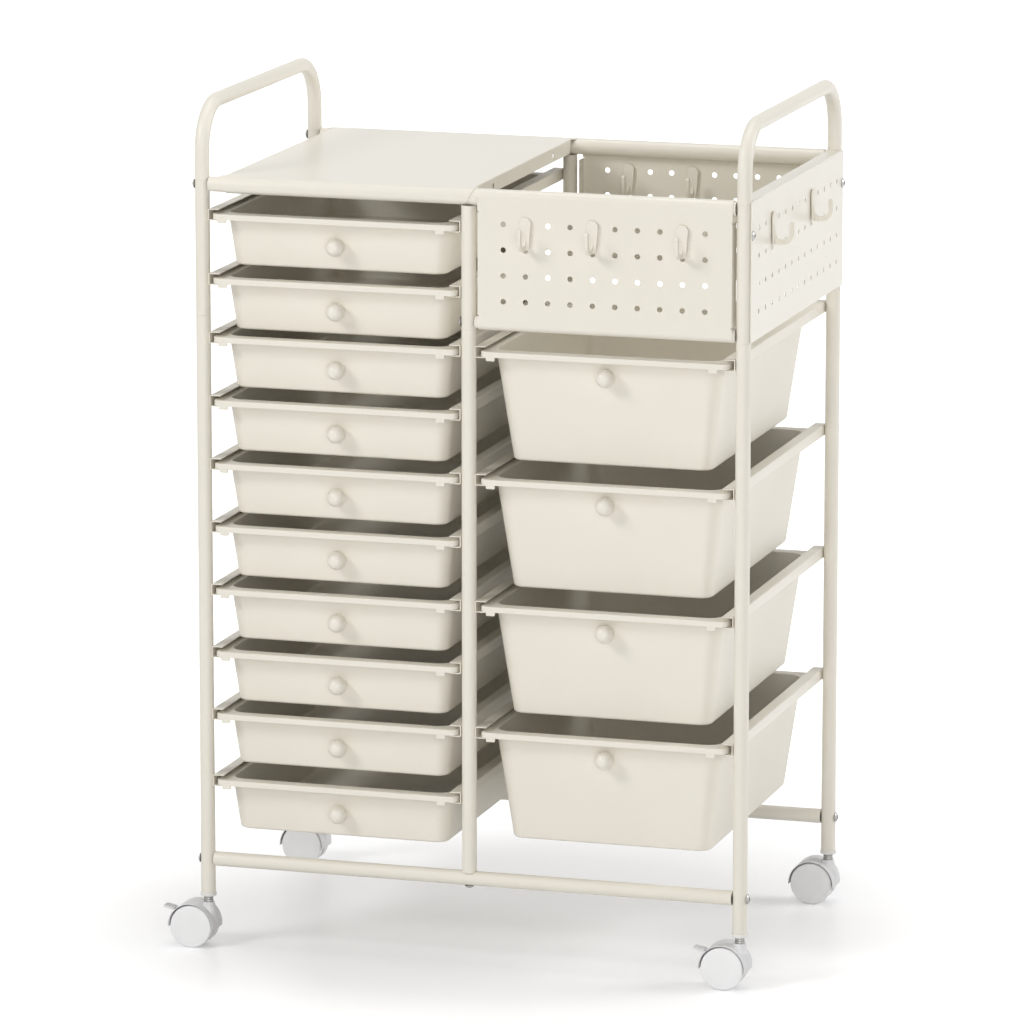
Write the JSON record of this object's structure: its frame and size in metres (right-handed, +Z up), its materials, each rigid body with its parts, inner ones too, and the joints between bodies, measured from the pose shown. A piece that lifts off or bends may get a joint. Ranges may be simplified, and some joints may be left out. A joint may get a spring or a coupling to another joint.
{
  "type": "rolling drawer cart",
  "caption": "Rolling drawer cart with a tube frame, shallow drawers under a sheet tray, deep drawers under a pegboard bin, upright handles and twin-wheel casters.",
  "frame": {"origin": "on the floor, at the bottom centre of the box round the whole cart", "axes": "+Z up, the drawers open towards -Y, +X towards the deep drawers and the side pegboard"},
  "size_m": [0.6862, 0.428, 0.9363],
  "materials": {
    "frame_enamel": "satin cream powder coat",
    "sheet_enamel": "satin cream powder coat",
    "drawer_plastic": "fine satin",
    "knob_plastic": "smooth",
    "hook_plastic": "satin",
    "bolt_steel": "zinc plated",
    "stem_steel": "zinc plated",
    "sleeve_steel": "plain",
    "socket_plastic": "satin",
    "caster_plastic": "satin",
    "wheel_plastic": "satin"
  },
  "bodies": {
    "frame": {"left_posts": "frame_enamel", "middle_posts": "frame_enamel", "right_posts": "frame_enamel", "joint_sleeves": "sleeve_steel", "handle_left": "frame_enamel", "handle_right": "frame_enamel", "top_crossbars": "frame_enamel", "bottom_crossbars": "frame_enamel", "short_crossbars": "frame_enamel", "threaded_inserts": "sleeve_steel", "frame_bolts": "bolt_steel", "left_runners": "frame_enamel", "middle_runners": "frame_enamel", "right_runners": "frame_enamel", "tray": "sheet_enamel", "pegboard_front": "sheet_enamel", "pegboard_rear": "sheet_enamel", "pegboard_side": "sheet_enamel", "pegboard_hooks": "hook_plastic", "post_sockets": "socket_plastic", "caster_stems": "stem_steel"},
    "shallow_drawer_01": {"shallow_drawer_01": "drawer_plastic", "shallow_knob_01": "knob_plastic"},
    "shallow_drawer_02": {"shallow_drawer_02": "drawer_plastic", "shallow_knob_02": "knob_plastic"},
    "shallow_drawer_03": {"shallow_drawer_03": "drawer_plastic", "shallow_knob_03": "knob_plastic"},
    "shallow_drawer_04": {"shallow_drawer_04": "drawer_plastic", "shallow_knob_04": "knob_plastic"},
    "shallow_drawer_05": {"shallow_drawer_05": "drawer_plastic", "shallow_knob_05": "knob_plastic"},
    "shallow_drawer_06": {"shallow_drawer_06": "drawer_plastic", "shallow_knob_06": "knob_plastic"},
    "shallow_drawer_07": {"shallow_drawer_07": "drawer_plastic", "shallow_knob_07": "knob_plastic"},
    "shallow_drawer_08": {"shallow_drawer_08": "drawer_plastic", "shallow_knob_08": "knob_plastic"},
    "shallow_drawer_09": {"shallow_drawer_09": "drawer_plastic", "shallow_knob_09": "knob_plastic"},
    "shallow_drawer_10": {"shallow_drawer_10": "drawer_plastic", "shallow_knob_10": "knob_plastic"},
    "deep_drawer_01": {"deep_drawer_01": "drawer_plastic", "deep_knob_01": "knob_plastic"},
    "deep_drawer_02": {"deep_drawer_02": "drawer_plastic", "deep_knob_02": "knob_plastic"},
    "deep_drawer_03": {"deep_drawer_03": "drawer_plastic", "deep_knob_03": "knob_plastic"},
    "deep_drawer_04": {"deep_drawer_04": "drawer_plastic", "deep_knob_04": "knob_plastic"},
    "caster_front_left": {"caster_hood_front_left": "caster_plastic"},
    "wheels_front_left": {"caster_wheels_front_left": "wheel_plastic"},
    "brake_front_left": {"brake_lever_front_left": "caster_plastic"},
    "caster_front_right": {"caster_hood_front_right": "caster_plastic"},
    "wheels_front_right": {"caster_wheels_front_right": "wheel_plastic"},
    "brake_front_right": {"brake_lever_front_right": "caster_plastic"},
    "caster_back_left": {"caster_hood_back_left": "caster_plastic"},
    "wheels_back_left": {"caster_wheels_back_left": "wheel_plastic"},
    "caster_back_right": {"caster_hood_back_right": "caster_plastic"},
    "wheels_back_right": {"caster_wheels_back_right": "wheel_plastic"}
  },
  "joints": [
    {"name": "shallow_drawer_01_slide", "type": "slide", "parent": "frame", "child": "shallow_drawer_01", "axis": [0, -1, 0], "range_m": [0, 0.28]},
    {"name": "shallow_drawer_02_slide", "type": "slide", "parent": "frame", "child": "shallow_drawer_02", "axis": [0, -1, 0], "range_m": [0, 0.28]},
    {"name": "shallow_drawer_03_slide", "type": "slide", "parent": "frame", "child": "shallow_drawer_03", "axis": [0, -1, 0], "range_m": [0, 0.28]},
    {"name": "shallow_drawer_04_slide", "type": "slide", "parent": "frame", "child": "shallow_drawer_04", "axis": [0, -1, 0], "range_m": [0, 0.28]},
    {"name": "shallow_drawer_05_slide", "type": "slide", "parent": "frame", "child": "shallow_drawer_05", "axis": [0, -1, 0], "range_m": [0, 0.28]},
    {"name": "shallow_drawer_06_slide", "type": "slide", "parent": "frame", "child": "shallow_drawer_06", "axis": [0, -1, 0], "range_m": [0, 0.28]},
    {"name": "shallow_drawer_07_slide", "type": "slide", "parent": "frame", "child": "shallow_drawer_07", "axis": [0, -1, 0], "range_m": [0, 0.28]},
    {"name": "shallow_drawer_08_slide", "type": "slide", "parent": "frame", "child": "shallow_drawer_08", "axis": [0, -1, 0], "range_m": [0, 0.28]},
    {"name": "shallow_drawer_09_slide", "type": "slide", "parent": "frame", "child": "shallow_drawer_09", "axis": [0, -1, 0], "range_m": [0, 0.28]},
    {"name": "shallow_drawer_10_slide", "type": "slide", "parent": "frame", "child": "shallow_drawer_10", "axis": [0, -1, 0], "range_m": [0, 0.28]},
    {"name": "deep_drawer_01_slide", "type": "slide", "parent": "frame", "child": "deep_drawer_01", "axis": [0, -1, 0], "range_m": [0, 0.28]},
    {"name": "deep_drawer_02_slide", "type": "slide", "parent": "frame", "child": "deep_drawer_02", "axis": [0, -1, 0], "range_m": [0, 0.28]},
    {"name": "deep_drawer_03_slide", "type": "slide", "parent": "frame", "child": "deep_drawer_03", "axis": [0, -1, 0], "range_m": [0, 0.28]},
    {"name": "deep_drawer_04_slide", "type": "slide", "parent": "frame", "child": "deep_drawer_04", "axis": [0, -1, 0], "range_m": [0, 0.28]},
    {"name": "caster_swivel_front_left", "type": "hinge", "parent": "frame", "child": "caster_front_left", "pos_m": [-0.29193, -0.18097, 0.0234], "axis": [0, 0, 1], "continuous": true},
    {"name": "wheel_spin_front_left", "type": "hinge", "parent": "caster_front_left", "child": "wheels_front_left", "pos_m": [-0.30793, -0.18097, 0.0234], "axis": [0, 1, 0], "continuous": true},
    {"name": "brake_lever_front_left_press", "type": "hinge", "parent": "caster_front_left", "child": "brake_front_left", "pos_m": [-0.31693, -0.18097, 0.0373], "axis": [0, -1, 0], "range_deg": [0, 10]},
    {"name": "caster_swivel_front_right", "type": "hinge", "parent": "frame", "child": "caster_front_right", "pos_m": [0.31007, -0.18097, 0.0234], "axis": [0, 0, 1], "continuous": true},
    {"name": "wheel_spin_front_right", "type": "hinge", "parent": "caster_front_right", "child": "wheels_front_right", "pos_m": [0.29407, -0.18097, 0.0234], "axis": [0, 1, 0], "continuous": true},
    {"name": "brake_lever_front_right_press", "type": "hinge", "parent": "caster_front_right", "child": "brake_front_right", "pos_m": [0.28507, -0.18097, 0.0373], "axis": [0, -1, 0], "range_deg": [0, 10]},
    {"name": "caster_swivel_back_left", "type": "hinge", "parent": "frame", "child": "caster_back_left", "pos_m": [-0.29193, 0.19703, 0.0234], "axis": [0, 0, 1], "continuous": true},
    {"name": "wheel_spin_back_left", "type": "hinge", "parent": "caster_back_left", "child": "wheels_back_left", "pos_m": [-0.30793, 0.19703, 0.0234], "axis": [0, 1, 0], "continuous": true},
    {"name": "caster_swivel_back_right", "type": "hinge", "parent": "frame", "child": "caster_back_right", "pos_m": [0.31007, 0.19703, 0.0234], "axis": [0, 0, 1], "continuous": true},
    {"name": "wheel_spin_back_right", "type": "hinge", "parent": "caster_back_right", "child": "wheels_back_right", "pos_m": [0.29407, 0.19703, 0.0234], "axis": [0, 1, 0], "continuous": true}
  ]
}
